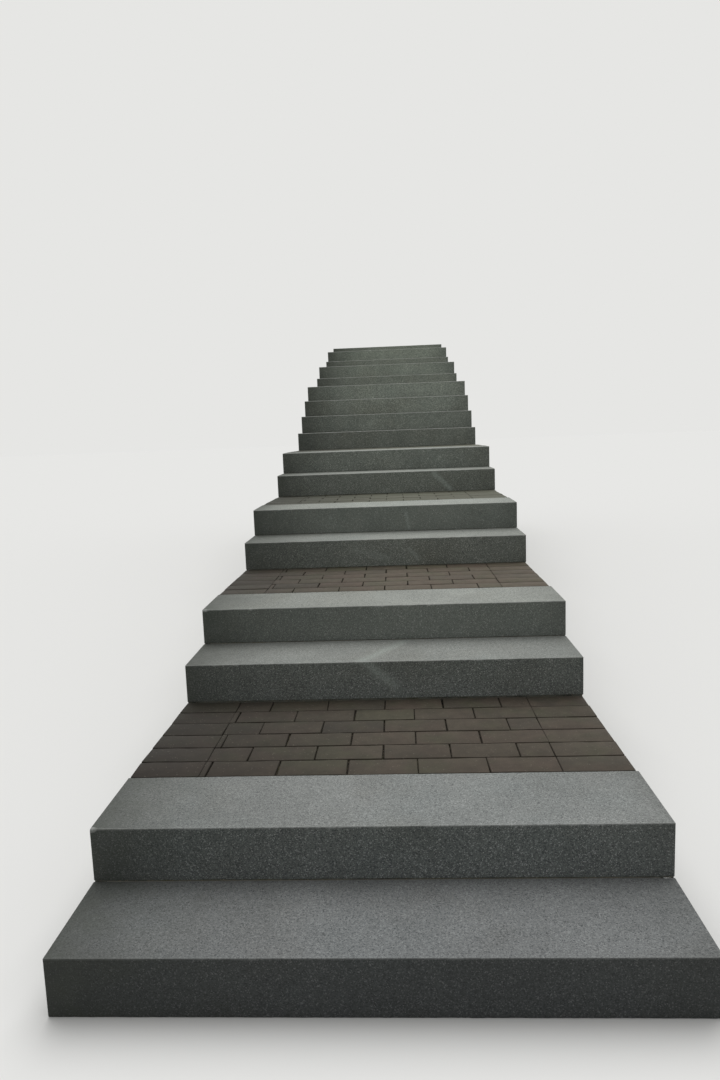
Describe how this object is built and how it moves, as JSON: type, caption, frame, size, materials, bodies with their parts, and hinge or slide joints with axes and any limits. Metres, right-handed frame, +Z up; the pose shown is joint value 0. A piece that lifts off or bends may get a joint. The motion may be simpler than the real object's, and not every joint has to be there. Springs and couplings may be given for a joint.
{
  "type": "outdoor stone steps",
  "caption": "Outdoor stair of solid granite block steps in short flights, with brick-paved landings between them, on a stepped concrete foundation.",
  "frame": {"origin": "middle of the footprint, at the level of the foot of the stair", "axes": "+X across the stair to the right as one goes up, +Y up the stair, +Z up"},
  "size_m": [1.52, 9.682, 2.55],
  "materials": {
    "granite": "fine-sawn and flamed grey granite, weathered",
    "clay_pavers": "matt fired clay, brown",
    "bedding": "sand and cement bed",
    "concrete": "board-marked cast concrete"
  },
  "bodies": {
    "root": {"step_01": "granite", "step_02": "granite", "step_03": "granite", "step_04": "granite", "step_05": "granite", "step_06": "granite", "step_07": "granite", "step_08": "granite", "step_09": "granite", "step_10": "granite", "step_11": "granite", "step_12_left": "granite", "step_12_right": "granite", "step_13": "granite", "step_14": "granite", "step_15": "granite", "step_16": "granite", "step_17": "granite", "landing_1_paving": "clay_pavers", "landing_2_paving": "clay_pavers", "landing_3_paving": "clay_pavers", "landing_4_paving": "clay_pavers", "landing_5_paving": "clay_pavers", "landing_6_paving": "clay_pavers", "landing_7_paving": "clay_pavers", "landing_1_bed": "bedding", "landing_2_bed": "bedding", "landing_3_bed": "bedding", "landing_4_bed": "bedding", "landing_5_bed": "bedding", "landing_6_bed": "bedding", "landing_7_bed": "bedding", "foundation_1": "concrete", "foundation_2": "concrete", "foundation_3": "concrete", "foundation_4": "concrete", "foundation_5": "concrete", "foundation_6": "concrete", "foundation_7": "concrete", "foundation_8": "concrete"}
  },
  "joints": []
}
